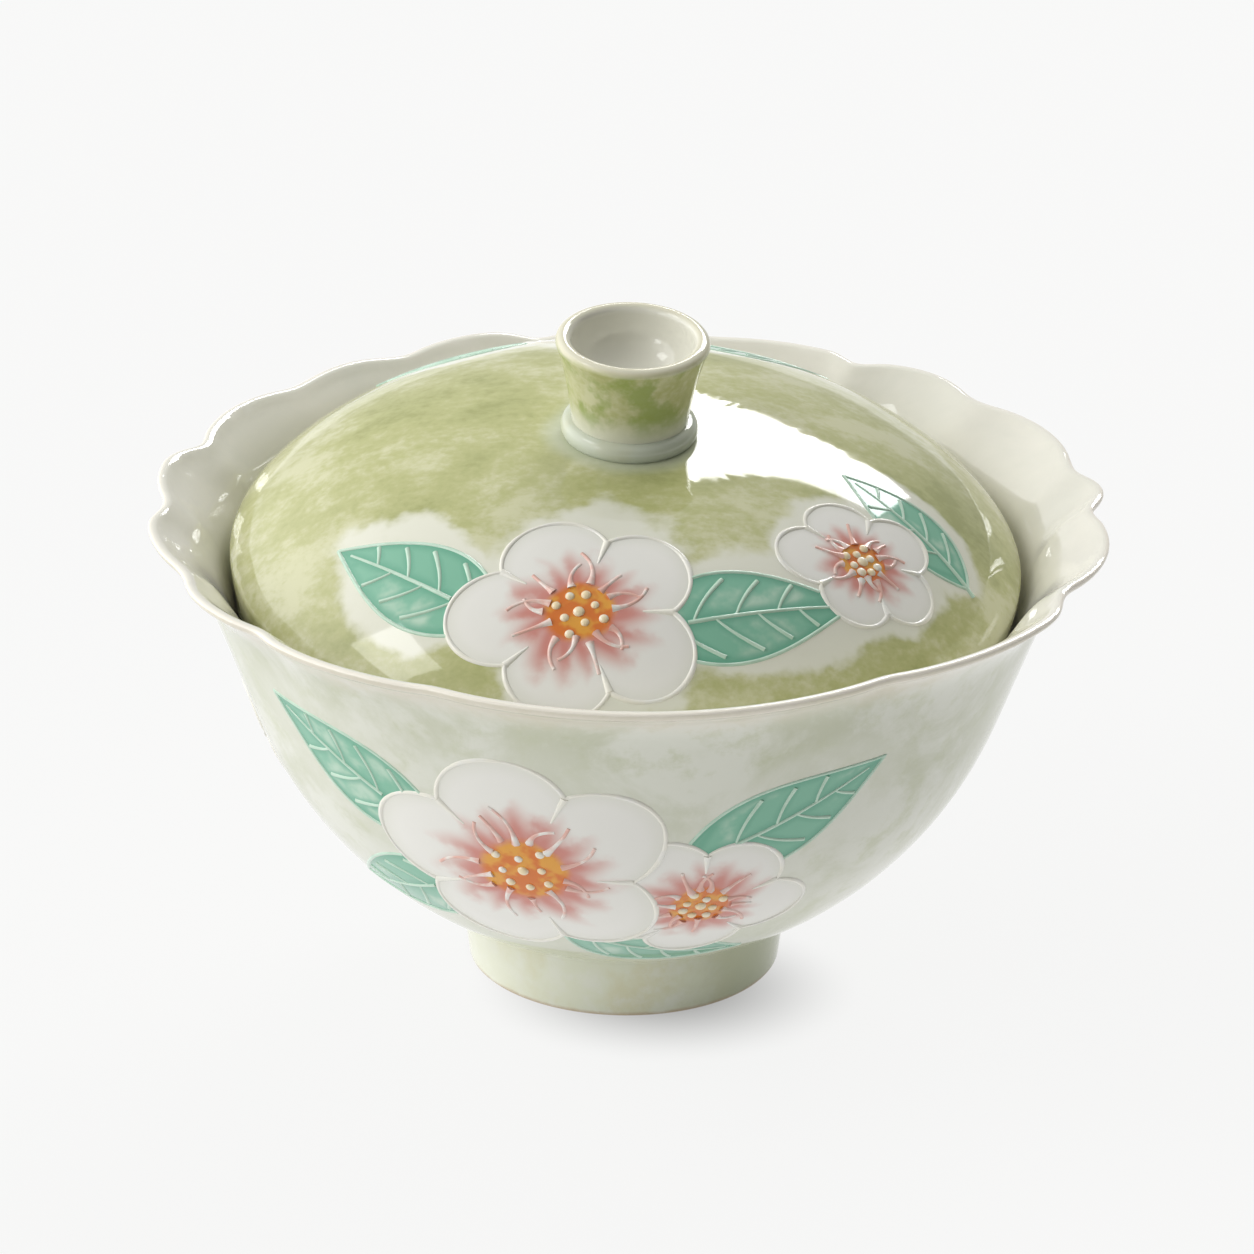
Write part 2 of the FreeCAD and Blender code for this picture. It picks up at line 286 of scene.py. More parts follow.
class Motif(namedtuple("Motif", "kind matrix size surface number")):
    """A flower or leaf on one surface. Its matrix holds its middle and its own axes."""

    def on_surface(self, across, up):
        """The place and normal on the surface for a place on the motif, in shares."""
        above = self.matrix @ Vector((across * self.size, up * self.size, self.size))
        return lean_on(self.surface, above, -self.matrix.col[2].to_3d())

    def reach(self, angle):
        """How far the blossom's outline stands out in one direction, in shares."""
        return petal_reach(angle) * waver(angle, self.number)

    def covers(self, point):
        """Tell whether a point on the surface lies inside the outline."""
        place = self.matrix.inverted() @ point / self.size
        if abs(place.z) > 1:
            return False
        if self.kind == "blossom":
            return math.hypot(place.x, place.y) < self.reach(math.atan2(place.y, place.x))
        return abs(place.x) < 1 and abs(place.y) < leaf_width(place.x)


def petal_reach(angle):
    """How far five round petals stand out in one direction, in shares."""
    off_axis = (angle * PETALS / math.tau) % 1 - 0.5
    off_axis *= math.tau / PETALS
    side = PETAL_REACH * math.sin(off_axis)
    return PETAL_REACH * math.cos(off_axis) + math.sqrt(PETAL_ROUND ** 2 - side ** 2)


def waver(angle, number):
    """A hand's uneven outline, other for each motif."""
    return 1 + WAVER * (math.sin(2 * angle + number) + math.sin(3 * angle + 2.3 * number))


def leaf_width(along):
    """Half the width of a leaf at a place from -1 at the stalk to 1 at the tip."""
    share = ((along + 1) / 2) ** LEAF_BLUNT
    return LEAF_WIDE * math.sin(math.pi * share)


def node_surface(name):
    """The surface of a modelled piece, to lay things on."""
    mesh = NODES[name].data
    return BVHTree.FromPolygons(
        [vertex.co for vertex in mesh.vertices],
        [tuple(polygon.vertices) for polygon in mesh.polygons],
    )


def tangent_frame(place, normal, upward, turn):
    """A frame whose Z leaves the surface and whose Y points up along it."""
    up = (upward - normal * upward.dot(normal)).normalized()
    axes = Matrix((up.cross(normal), up, normal)).transposed().to_4x4()
    return Matrix.Translation(place) @ axes @ Matrix.Rotation(math.radians(turn), 4, "Z")


def knob_root():
    """The middle of the bead of slip round the knob's root, on the lid's own axis."""
    low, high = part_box("knob_bead")
    return (Vector(low) + Vector(high)) / 2


def lid_frame():
    """A frame at the knob's root that lies askew as the lid does."""
    return Matrix.Translation(knob_root()) @ LID_TURN.to_4x4()


def bowl_motifs():
    """The motifs on the outside of the bowl's wall."""
    surface = node_surface("bowl_wall")
    motifs = []
    for number, (kind, way, height, size, turn) in enumerate(BOWL_MOTIFS):
        outward = Vector((math.cos(math.radians(way)), math.sin(math.radians(way)), 0))
        start = outward * 0.2 + Vector((0, 0, height * MM))
        place, normal = lean_on(surface, start, -outward)
        matrix = tangent_frame(place, normal, Vector((0, 0, 1)), turn)
        motifs.append(Motif(kind, matrix, size * MM, surface, number))
    return motifs


def lid_motifs():
    """The motifs on the upper side of the lid."""
    surface = node_surface("lid_dome")
    middle = knob_root()
    motifs = []
    for number, (kind, way, out, size, turn) in enumerate(LID_MOTIFS):
        outward = LID_TURN @ Vector((math.cos(math.radians(way)), math.sin(math.radians(way)), 0))
        place, normal = lean_on(surface, middle + outward * out * MM + LID_AXIS * 0.05, -LID_AXIS)
        matrix = tangent_frame(place, normal, -outward, turn)
        motifs.append(Motif(kind, matrix, size * MM, surface, number))
    return motifs


# A trail is a run of points on a motif, each across, up and how thick it is there.

def tapered(points, root, tip):
    """Give a run of points a thickness that falls from its root to its tip."""
    last = len(points) - 1
    return [(*point, root + (tip - root) * number / last) for number, point in enumerate(points)]


def blossom_trails(motif):
    """The outline, petal folds and stamens of a blossom, as three lists of trails."""
    outline = []
    for step in range(OUTLINE_STEPS + 1):
        angle = math.tau * step / OUTLINE_STEPS
        reach = motif.reach(angle)
        thick = 1 + 0.18 * math.sin(11 * angle + motif.number)
        outline.append((reach * math.cos(angle), reach * math.sin(angle), thick))
    folds = []
    for petal in range(PETALS):
        angle = math.tau * petal / PETALS
        reach = motif.reach(angle)
        run = []
        for share in FOLD_STOPS:
            out = reach * (1 - FOLD_LENGTH * share)
            run.append((out * math.cos(angle), out * math.sin(angle)))
        folds.append(tapered(run, 1.7, 0.35))
    stamens = []
    for stamen in range(STAMENS):
        angle = math.tau * (stamen + 0.25 * math.sin(5 * stamen + motif.number)) / STAMENS
        inner = HEART * (1.0 + 0.12 * math.sin(3 * stamen))
        outer = HEART * (1.95 + 0.25 * math.sin(4 * stamen + motif.number))
        bend = 0.32 * math.sin(2.1 * stamen + motif.number)
        run = []
        for step in range(STAMEN_STEPS + 1):
            share = step / STAMEN_STEPS
            reach = inner + (outer - inner) * share
            way = angle + bend * share * share
            thick = 0.75 + 1.1 * (1 - share) ** 4
            run.append((reach * math.cos(way), reach * math.sin(way), thick))
        stamens.append(run)
    return [outline, *folds], stamens


def leaf_trails(motif):
    """The outline and the veins of a leaf, as trails."""
    edge = [-math.cos(math.pi * step / LEAF_STEPS) for step in range(LEAF_STEPS + 1)]
    outline = [(along, leaf_width(along), 1.0) for along in edge]
    outline += [(along, -leaf_width(along), 1.0) for along in reversed(edge[:-1])]
    midrib = [(2 * step / MIDRIB_STEPS - 1 - STALK, 0.0) for step in range(MIDRIB_STEPS)]
    veins = [tapered(midrib, 1.5, 0.7)]
    for side in (-1, 1):
        root = -1 + VEIN_SPACE * (1.4 if side > 0 else 0.9)
        while root < 0.62:
            run = []
            out = 0.0
            while True:
                along = root + VEIN_SLANT * out + VEIN_BOW * out * out
                if along > 0.97 or out > 0.86 * leaf_width(along):
                    break
                run.append((along, side * out))
                out += VEIN_STEP
            if len(run) > 2:
                veins.append(tapered(run, 0.65, 1.2))
            root += VEIN_SPACE
    return [outline, *veins]


def heart_dots(motif):
    """Where the dots of slip stand in a blossom's heart, and their size."""
    dots = [(0.0, 0.0, 1.0)]
    for dot in range(HEART_DOTS - 1):
        angle = math.tau * dot / (HEART_DOTS - 1) + motif.number
        reach = HEART * (0.62 + 0.2 * math.sin(2.7 * dot))
        dots.append((reach * math.cos(angle), reach * math.sin(angle), 0.8 + 0.25 * math.sin(3.1 * dot)))
    return dots


def visible_runs(trail, motif, over, thickness):
    """Lay a trail on the surface and cut it where a motif painted over it hides it."""
    runs = [[]]
    for across, up, thick in trail:
        place, normal = motif.on_surface(across, up)
        radius = thickness * thick
        if any(other.covers(place) for other in over):
            runs.append([])
        else:
            runs[-1].append((place - normal * radius * SLIP_SINK, radius))
    return [run for run in runs if len(run) > 2]


def new_tree(name, inputs):
    """A Geometry Nodes tree with named inputs, and its input and output nodes."""
    tree = bpy.data.node_groups.new(name, "GeometryNodeTree")
    tree.interface.new_socket("Geometry", in_out="INPUT", socket_type="NodeSocketGeometry")
    for label, kind, default in inputs:
        socket = tree.interface.new_socket(label, in_out="INPUT", socket_type=kind)
        if default is not None:
            socket.default_value = default
    tree.interface.new_socket("Geometry", in_out="OUTPUT", socket_type="NodeSocketGeometry")
    return tree, tree.nodes.new("NodeGroupInput"), tree.nodes.new("NodeGroupOutput")


def named_attribute(tree, name, kind):
    """Read a value that the points carry."""
    node = tree.nodes.new("GeometryNodeInputNamedAttribute")
    node.data_type = kind
    node.inputs["Name"].default_value = name
    return node.outputs["Attribute"]


def trail_tree():
    """Runs of points become round trails of slip, as thick as each point says."""
    tree, given, result = new_tree("slip_trails", [
        ("Sides", "NodeSocketInt", 8),
        ("Slip", "NodeSocketMaterial", None),
    ])
    link = tree.links.new
    curve = tree.nodes.new("GeometryNodeMeshToCurve")
    profile = tree.nodes.new("GeometryNodeCurvePrimitiveCircle")
    profile.inputs["Radius"].default_value = 1.0
    tube = tree.nodes.new("GeometryNodeCurveToMesh")
    tube.inputs["Fill Caps"].default_value = True
    smooth = tree.nodes.new("GeometryNodeSetShadeSmooth")
    realize = tree.nodes.new("GeometryNodeRealizeInstances")
    paint = tree.nodes.new("GeometryNodeSetMaterial")
    link(given.outputs["Geometry"], curve.inputs["Mesh"])
    link(given.outputs["Sides"], profile.inputs["Resolution"])
    link(curve.outputs["Curve"], tube.inputs["Curve"])
    link(named_attribute(tree, "thick", "FLOAT"), tube.inputs["Scale"])
    link(profile.outputs["Curve"], tube.inputs["Profile Curve"])
    link(tube.outputs["Mesh"], smooth.inputs["Geometry"])
    link(smooth.outputs["Geometry"], realize.inputs["Geometry"])
    link(realize.outputs["Geometry"], paint.inputs["Geometry"])
    link(given.outputs["Slip"], paint.inputs["Material"])
    link(paint.outputs["Geometry"], result.inputs["Geometry"])
    return tree


def dot_tree():
    """Points become low domes of slip, each as large as its point says."""
    tree, given, result = new_tree("slip_dots", [
        ("Flatness", "NodeSocketFloat", 0.6),
        ("Slip", "NodeSocketMaterial", None),
    ])
    link = tree.links.new
    points = tree.nodes.new("GeometryNodeMeshToPoints")
    dome = tree.nodes.new("GeometryNodeMeshIcoSphere")
    dome.inputs["Radius"].default_value = 1.0
    dome.inputs["Subdivisions"].default_value = 3
    stand = tree.nodes.new("FunctionNodeAlignRotationToVector")
    shape = tree.nodes.new("ShaderNodeCombineXYZ")
    shape.inputs["X"].default_value = 1.0
    shape.inputs["Y"].default_value = 1.0
    scale = tree.nodes.new("ShaderNodeVectorMath")
    scale.operation = "SCALE"
    place = tree.nodes.new("GeometryNodeInstanceOnPoints")
    realize = tree.nodes.new("GeometryNodeRealizeInstances")
    smooth = tree.nodes.new("GeometryNodeSetShadeSmooth")
    paint = tree.nodes.new("GeometryNodeSetMaterial")
    link(given.outputs["Geometry"], points.inputs["Mesh"])
    link(points.outputs["Points"], place.inputs["Points"])
    link(dome.outputs["Mesh"], place.inputs["Instance"])
    link(named_attribute(tree, "outward", "FLOAT_VECTOR"), stand.inputs["Vector"])
    link(stand.outputs["Rotation"], place.inputs["Rotation"])
    link(given.outputs["Flatness"], shape.inputs["Z"])
    link(shape.outputs["Vector"], scale.inputs["Vector"])
    link(named_attribute(tree, "thick", "FLOAT"), scale.inputs["Scale"])
    link(scale.outputs["Vector"], place.inputs["Scale"])
    link(place.outputs["Instances"], realize.inputs["Geometry"])
    link(realize.outputs["Geometry"], smooth.inputs["Geometry"])
    link(smooth.outputs["Geometry"], paint.inputs["Geometry"])
    link(given.outputs["Slip"], paint.inputs["Material"])
    link(paint.outputs["Geometry"], result.inputs["Geometry"])
    return tree


def grow(name, mesh, tree, inputs, body):
    """Run a tree on a mesh and keep the plain mesh that it gives, riding on a body."""
    seed = bpy.data.objects.new(f"{name}_seed", mesh)
    bpy.context.scene.collection.objects.link(seed)
    modifier = seed.modifiers.new(name, "NODES")
    modifier.node_group = tree
    for item in tree.interface.items_tree:
        if item.item_type == "SOCKET" and item.in_out == "INPUT" and item.name in inputs:
            modifier[item.identifier] = inputs[item.name]
    depsgraph = bpy.context.evaluated_depsgraph_get()
    grown = bpy.data.meshes.new_from_object(seed.evaluated_get(depsgraph))
    grown.materials.clear()
    grown.materials.append(inputs["Slip"])
    bpy.data.objects.remove(seed)
    piece = bpy.data.objects.new(name, grown)
    grown.name = name
    bpy.context.scene.collection.objects.link(piece)
    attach(piece, body)
    return piece


def trail_piece(name, runs, material, body):
    """One piece of slip from many runs of points."""
    points = [point for run in runs for point in run]
    edges = []
    first = 0
    for run in runs:
        edges += [(first + number, first + number + 1) for number in range(len(run) - 1)]
        first += len(run)
    mesh = bpy.data.meshes.new(name)
    mesh.from_pydata([place for place, _ in points], edges, [])
    thick = mesh.attributes.new("thick", "FLOAT", "POINT")
    thick.data.foreach_set("value", [radius for _, radius in points])
    return grow(name, mesh, shared(trail_tree), {"Slip": material}, body)


def dot_piece(name, dots, material, body):
    """One piece of slip from many dots."""
    mesh = bpy.data.meshes.new(name)
    mesh.from_pydata([place for place, _, _ in dots], [], [])
    thick = mesh.attributes.new("thick", "FLOAT", "POINT")
    thick.data.foreach_set("value", [radius for _, _, radius in dots])
    outward = mesh.attributes.new("outward", "FLOAT_VECTOR", "POINT")
    outward.data.foreach_set("vector", [value for _, normal, _ in dots for value in normal])
    return grow(name, mesh, shared(dot_tree), {"Slip": material}, body)


made_once = {}


def shared(make):
    """What a function makes: made on its first use and then used again."""
    if make not in made_once:
        made_once[make] = make()
    return made_once[make]


def trail_slip(motifs, body):
    """Trail the raised slip of all the motifs on one body."""
    sizes = bpy.context.scene.bowl_slip
    petals = []
    stamens = []
    leaves = []
    dots = []
    for number, motif in enumerate(motifs):
        over = motifs[number + 1:]
        if motif.kind == "blossom":
            outline, filaments = blossom_trails(motif)
            for trail in outline:
                petals += visible_runs(trail, motif, over, sizes.outline_width / 2)
            for trail in filaments:
                stamens += visible_runs(trail, motif, over, sizes.stamen_width / 2)
            for across, up, size in heart_dots(motif):
                place, normal = motif.on_surface(across, up)
                dots.append((place, normal, size * sizes.dot_width / 2))
        else:
            for trail in leaf_trails(motif):
                leaves += visible_runs(trail, motif, over, sizes.vein_width / 2)
    trail_piece(f"{body}_petal_slip", petals, shared(cream_slip), body)
    trail_piece(f"{body}_stamen_slip", stamens, shared(rose_slip), body)
    trail_piece(f"{body}_leaf_slip", leaves, shared(mint_slip), body)
    dot_piece(f"{body}_heart_slip", dots, shared(gold_slip), body)


def glazed(name, paint, bump_depth):
    """A glossy glaze. paint gives its colour from the object's own coordinates."""
    material = bpy.data.materials.new(name)
    material.use_nodes = True
    shader = Shader(material.node_tree)
    seen = shader.node("ShaderNodeTexCoord")
    place = seen["Object"]
    normal = seen["Normal"]
    base = paint(shader, place, normal)
    swell = shader.noise(place, SWELL, 0.6)
    bump = shader.node("ShaderNodeBump", None, {
        "Strength": 1.0,
        "Distance": bump_depth,
        "Height": swell,
    })
    gloss = bpy.context.scene.bowl_glaze.roughness
    rough = gloss + 0.04 * shader.step(shader.noise(place, 3 * MM, 4.0), 0.45, 0.8)
    bsdf = shader.node("ShaderNodeBsdfPrincipled", None, {
        "Base Color": base,
        "Roughness": rough,
        "IOR": 1.5,
        "Normal": bump,
    })
    shader.node("ShaderNodeOutputMaterial", None, {"Surface": bsdf})
    return material


def outward_share(shader, place, normal, upward):
    """1 on the outer side of a turned wall and -1 on its inner side, 0 on the lip."""
    x, y, _ = shader.parts(place)
    across, along, up = shader.parts(normal)
    radius = (x * x + y * y + 1e-9) ** 0.5
    return (across * x + along * y) / radius + up * upward


def blossom_group():
    """Where a blossom's petals, blush and heart lie, each from 0 to 1."""
    tree = bpy.data.node_groups.new("blossom", "ShaderNodeTree")
    tree.interface.new_socket("Place", in_out="INPUT", socket_type="NodeSocketVector")
    tree.interface.new_socket("Number", in_out="INPUT", socket_type="NodeSocketFloat")
    tree.interface.new_socket("Cloud", in_out="INPUT", socket_type="NodeSocketFloat")
    for label in ("Petals", "Blush", "Heart", "Shade"):
        tree.interface.new_socket(label, in_out="OUTPUT", socket_type="NodeSocketFloat")
    shader = Shader(tree)
    given = shader.node("NodeGroupInput")
    place = given["Place"]
    number = given["Number"]
    cloud = given["Cloud"]
    x, y, depth = shader.parts(place)
    radius = (x * x + y * y) ** 0.5
    angle = shader.maths("ARCTAN2", y, x)

    def sine(value):
        return shader.maths("SINE", value)

    turned = angle * (PETALS / math.tau)
    whole = shader.maths("FLOOR", turned)
    off_axis = (turned - whole - 0.5) * (math.tau / PETALS)
    side = PETAL_REACH * sine(off_axis)
    reach = PETAL_REACH * sine(off_axis + math.pi / 2)
    reach = reach + (PETAL_ROUND ** 2 - side * side) ** 0.5
    reach = reach * (1 + WAVER * (sine(2 * angle + number) + sine(3 * angle + 2.3 * number)))
    near = shader.step(abs(depth), 1.0, 0.9)
    petals = shader.step(radius - reach, 0.012, -0.012) * near
    streak = sine(angle * 14 + 12 * cloud) * 0.05
    blush = shader.step(radius + 0.45 * (cloud - 0.5) + streak, 0.66, 0.3) * near
    heart = shader.step(radius + 0.2 * (cloud - 0.5), HEART * 1.2, HEART * 0.9) * near
    shade = shader.step(radius - reach, -0.16, 0.0) * petals
    values = {"Petals": petals, "Blush": blush * petals, "Heart": heart, "Shade": shade}
    shader.node("NodeGroupOutput", None, values)
    return tree


def leaf_group():
    """Where a leaf lies, where its glaze pools and where it thins, each from 0 to 1."""
    tree = bpy.data.node_groups.new("leaf", "ShaderNodeTree")
    tree.interface.new_socket("Place", in_out="INPUT", socket_type="NodeSocketVector")
    tree.interface.new_socket("Cloud", in_out="INPUT", socket_type="NodeSocketFloat")
    for label in ("Blade", "Pool", "Thin"):
        tree.interface.new_socket(label, in_out="OUTPUT", socket_type="NodeSocketFloat")
    shader = Shader(tree)
    given = shader.node("NodeGroupInput")
    x, y, depth = shader.parts(given["Place"])
    share = shader.maths("MAXIMUM", (x + 1) / 2, 0.0) ** LEAF_BLUNT
    width = shader.maths("SINE", math.pi * share) * LEAF_WIDE
    inside = shader.step(abs(x), 1.0, 0.99) * shader.step(abs(depth), 1.0, 0.9)
    edge = width - abs(y)
    blade = shader.step(edge, -0.006, 0.012) * inside
    right = shader.step(y, -0.001, 0.001)
    root = -1 + VEIN_SPACE * (0.9 + 0.5 * right)
    out = abs(y)
    rank = (x - VEIN_SLANT * out - VEIN_BOW * out * out - root) / VEIN_SPACE
    whole = shader.maths("FLOOR", rank + 0.5)
    vein = shader.step(abs(rank - whole), 0.3, 0.02)
    rib = shader.step(out, 0.12, 0.0)
    rim = shader.step(edge, 0.13, 0.0)
    pool = shader.maths("MAXIMUM", shader.maths("MAXIMUM", vein * 0.7, rib), rim)
    thin = shader.step(given["Cloud"], 0.48, 0.66)
    shader.node("NodeGroupOutput", None, {"Blade": blade, "Pool": pool * blade, "Thin": thin * blade})
    return tree


def seen_from(shader, place, motifs):
    """The same place as seen from each motif, in shares of its size."""
    return [shader.placed(place, motif.matrix, (motif.size,) * 3) for motif in motifs]


def clearing(shader, motifs, seats, drift):
    """1 close round the motifs and 0 away from them, with a cloudy edge."""
    share = 0.0
    for motif, seat in zip(motifs, seats):
        x, y, z = shader.parts(seat)
        if motif.kind == "leaf":
            y = y / CLEAR_NARROW
        away = (x * x + y * y + z * z) ** 0.5
        near = shader.step(away + drift, CLEAR_END, CLEAR_START)
        share = shader.maths("MAXIMUM", share, near)
    return share


def painted_motifs(shader, place, ground, motifs, seats):
    """Paint the motifs over a ground colour, in order."""
    colours = bpy.context.scene.bowl_glaze
    paint = ground
    cloud = shader.noise(place, 8 * MM, 4.0)
    heart_tone = shader.step(shader.noise(place, 2.4 * MM, 2.0), 0.42, 0.6)
    heart_paint = shader.mix(heart_tone, colours.heart, colours.heart_gold)
    for motif, near in zip(motifs, seats):
        if motif.kind == "blossom":
            tree = shared(blossom_group)
            values = {"Place": near, "Number": float(motif.number), "Cloud": cloud}
            made = shader.node("ShaderNodeGroup", {"node_tree": tree}, values)
            petals, blush, heart, shade = [made[name] for name in ("Petals", "Blush", "Heart", "Shade")]
            paint = shader.mix(petals, paint, colours.petal)
            paint = shader.mix(shade * 0.35, paint, colours.petal_edge)
            paint = shader.mix(blush * 0.9, paint, colours.rose)
            paint = shader.mix(heart, paint, heart_paint)
        else:
            tree = shared(leaf_group)
            values = {"Place": near, "Cloud": cloud}
            made = shader.node("ShaderNodeGroup", {"node_tree": tree}, values)
            blade, pool, thin = [made[name] for name in ("Blade", "Pool", "Thin")]
            green = shader.mix(thin * (1 - pool), colours.leaf, colours.leaf_thin)
            green = shader.mix(pool * 0.6, green, colours.leaf_pool)
            paint = shader.mix(blade, paint, green)
    return paint


def bowl_paint(shader, place, normal):
    """Pale celadon with motifs outside, warm white inside, cream on the lip."""
    colours = bpy.context.scene.bowl_glaze
    side = outward_share(shader, place, normal, -1.0)
    outside = shader.step(side, -0.25, 0.35)
    lip = shader.step(abs(side), 1.1, 0.5)
    _, _, height = shader.parts(place)
    cloud = shader.noise(place, 18 * MM, 6.0, 0.65, 0.4)
    fleck = shader.noise(place, 5 * MM, 5.0, 0.65)
    celadon = shader.mix(shader.step(cloud, 0.38, 0.6), colours.celadon, colours.celadon_pale)
    celadon = shader.mix(shader.step(fleck, 0.48, 0.72) * 0.6, celadon, colours.celadon_moss)
    # Painted shade: the celadon is painted darker and greener towards the foot.
    pool = shader.step(height + 12 * MM * (cloud - 0.5), LOW_SHADE_START, LOW_SHADE_END)
    celadon = shader.mix(pool * 0.55, celadon, colours.celadon_moss)
    motifs = shared(bowl_motifs)
    seats = seen_from(shader, place, motifs)
    clear = clearing(shader, motifs, seats, 0.8 * (cloud - 0.5))
    celadon = shader.mix(clear * 0.5, celadon, colours.celadon_pale)
    celadon = painted_motifs(shader, place, celadon, motifs, seats)
    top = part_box("bowl_wall")[1][2]
    blush = shader.step(height + 5 * MM * (fleck - 0.5), top - BLUSH_START, top - BLUSH_END)
    celadon = shader.mix(blush * 0.6, celadon, colours.lip_blush)
    inner = shader.mix(shader.step(cloud, 0.4, 0.7), colours.inner, colours.inner_shade)
    # Painted light: the inside is painted lighter lower down in the bowl.
    deep = shader.step(height + 6 * MM * (cloud - 0.5), top - LIT_DEEP_START, top - LIT_DEEP_END)
    inner = shader.mix(deep, inner, colours.inner_painted_light)
    rim = shader.step(height, top - LIP_START, top - LIP_END) * lip
    return shader.mix(rim, shader.mix(outside, inner, celadon), colours.lip)


def foot_paint(shader, place, normal):
    """Pale green with straw-coloured patches, painted light to the left, painted shade to the right,
    bare below.
    """
    colours = bpy.context.scene.bowl_glaze
    x, _, height = shader.parts(place)
    cloud = shader.noise(place, 12 * MM, 5.0, 0.65)
    fleck = shader.noise(place, 4 * MM, 5.0, 0.65)
    paint = shader.mix(shader.step(cloud, 0.42, 0.6), colours.foot, colours.foot_straw)
    paint = shader.mix(shader.step(fleck, 0.42, 0.66) * 0.7, paint, colours.celadon_pale)
    # Painted light: the foot is painted lighter towards the left.
    thin = shader.step(x + 12 * MM * (cloud - 0.5), -4 * MM, -20 * MM)
    paint = shader.mix(thin * 0.6, paint, colours.foot_painted_light)
    # Painted shade: the foot is painted darker towards the right.
    thick = shader.step(x + 12 * MM * (cloud - 0.5), 2 * MM, 20 * MM)
    paint = shader.mix(thick, paint, colours.foot_painted_shade)
    bare = shader.step(height + 0.8 * MM * (fleck - 0.5), 0.9 * MM, 0.2 * MM)
    return shader.mix(bare * 0.8, paint, colours.bare_clay)


def sage_wash(shader, place, white):
    """Sage green brushed in uneven washes, thinner where white is high."""
    colours = bpy.context.scene.bowl_glaze
    brushed = shader.node("ShaderNodeMapping", None, {
        "Vector": place,
        "Rotation": Euler((0, 0, math.radians(12))),
        "Scale": (0.7, 1.1, 1.3),
    })
    wash = shader.noise(brushed, 19 * MM, 5.0, 0.6, 0.4)
    stroke = shader.noise(brushed, 4.5 * MM, 5.0, 0.7, 0.2)
    grain = shader.noise(place, 1.1 * MM, 2.0)
    tone = wash * 0.6 + stroke * 0.28 + grain * 0.12
    paint = shader.mix(shader.step(tone, 0.4, 0.53), colours.sage_pale, colours.sage)
    paint = shader.mix(shader.step(tone, 0.5, 0.64), paint, colours.sage_deep)
    return shader.mix(shader.step(white + 1.1 * (0.5 - tone), 0.3, 1.0), paint, colours.white_ground)


def lid_paint(shader, place, normal):
    """Brushed sage above, fading to white round the motifs, and white below."""
    colours = bpy.context.scene.bowl_glaze
    own = shader.placed(place, lid_frame())
    x, y, _ = shader.parts(own)
    side = outward_share(shader, place, normal, 1.0)
    outside = shader.step(side, -0.3, 0.3)
    radius = (x * x + y * y) ** 0.5
    drift = shader.noise(own, 13 * MM, 4.0)
    motifs = shared(lid_motifs)
    seats = seen_from(shader, place, motifs)
    clear = clearing(shader, motifs, seats, 1.3 * (drift - 0.5))
    paint = sage_wash(shader, own, clear)
    halo = shader.step(radius + 5 * MM * (drift - 0.5), 12.5 * MM, 9 * MM)
    paint = shader.mix(halo * 0.65, paint, colours.bead)
    paint = painted_motifs(shader, place, paint, motifs, seats)
    return shader.mix(outside, colours.inner, paint)


def knob_paint(shader, place, normal):
    """Green mottled outside, cream on the lip and pale in the hollow."""
    colours = bpy.context.scene.bowl_glaze
    own = shader.placed(place, lid_frame())
    _, _, height = shader.parts(own)
    _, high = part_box("lid_knob")
    tall = high[2] - knob_root().z
    cloud = shader.noise(own, 6 * MM, 4.0, 0.6)
    paint = sage_wash(shader, own, 0.0)
    paint = shader.mix(shader.step(cloud, 0.45, 0.6) * 0.85, paint, colours.knob_green)
    root = shader.step(height + 5 * MM * (cloud - 0.5), 6 * MM, 1.5 * MM)
    paint = shader.mix(root * 0.8, paint, colours.white_ground)
    lip = shader.step(height + 1.6 * MM * (cloud - 0.5), tall - 1.9 * MM, tall - 1.0 * MM)
    paint = shader.mix(lip, paint, colours.knob_lip)
    inside = shader.step(outward_share(shader, place, normal, -1.0), 0.3, -0.6)
    ring = shader.step(height, tall - 1.3 * MM, tall - 0.6 * MM)
    return shader.mix(inside, paint, shader.mix(ring, colours.hollow, colours.knob_lip))


def bead_paint(shader, place, normal):
    """Slip under glaze, greener where the glaze runs thick."""
    colours = bpy.context.scene.bowl_glaze
    cloud = shader.noise(place, 5 * MM, 4.0)
    return shader.mix(shader.step(cloud, 0.42, 0.68), colours.bead, colours.celadon)


def slip_paint(tone, deep):
    """One slip colour with a little of another in its thicker places."""
    def paint(shader, place, normal):
        colours = bpy.context.scene.bowl_glaze
        cloud = shader.noise(place, 2.5 * MM, 3.0)
        return shader.mix(shader.step(cloud, 0.4, 0.7), getattr(colours, tone), getattr(colours, deep))
    return paint


def cream_slip():
    return glazed("cream_slip", slip_paint("slip_cream", "petal"), SLIP_GLAZE)


def gold_slip():
    return glazed("gold_slip", slip_paint("slip_gold", "slip_cream"), SLIP_GLAZE)


def rose_slip():
    return glazed("rose_slip", slip_paint("slip_rose", "petal"), SLIP_GLAZE)


def mint_slip():
    return glazed("mint_slip", slip_paint("slip_mint", "leaf_thin"), SLIP_GLAZE)


def dress(node, name, paint, bump_depth):
    """Give a modelled piece its glaze."""
    material = glazed(name, paint, bump_depth)
    for slot in NODES[node].material_slots:
        slot.material = material


def tint(label, note, default):
    """A colour that a user may change."""
    return FloatVectorProperty(
        name=label, description=note, subtype="COLOR", size=3, min=0.0, max=1.0, default=default
    )


def length(label, note, default):
    """A length that a user may change."""
    return FloatProperty(name=label, description=note, unit="LENGTH", default=default)


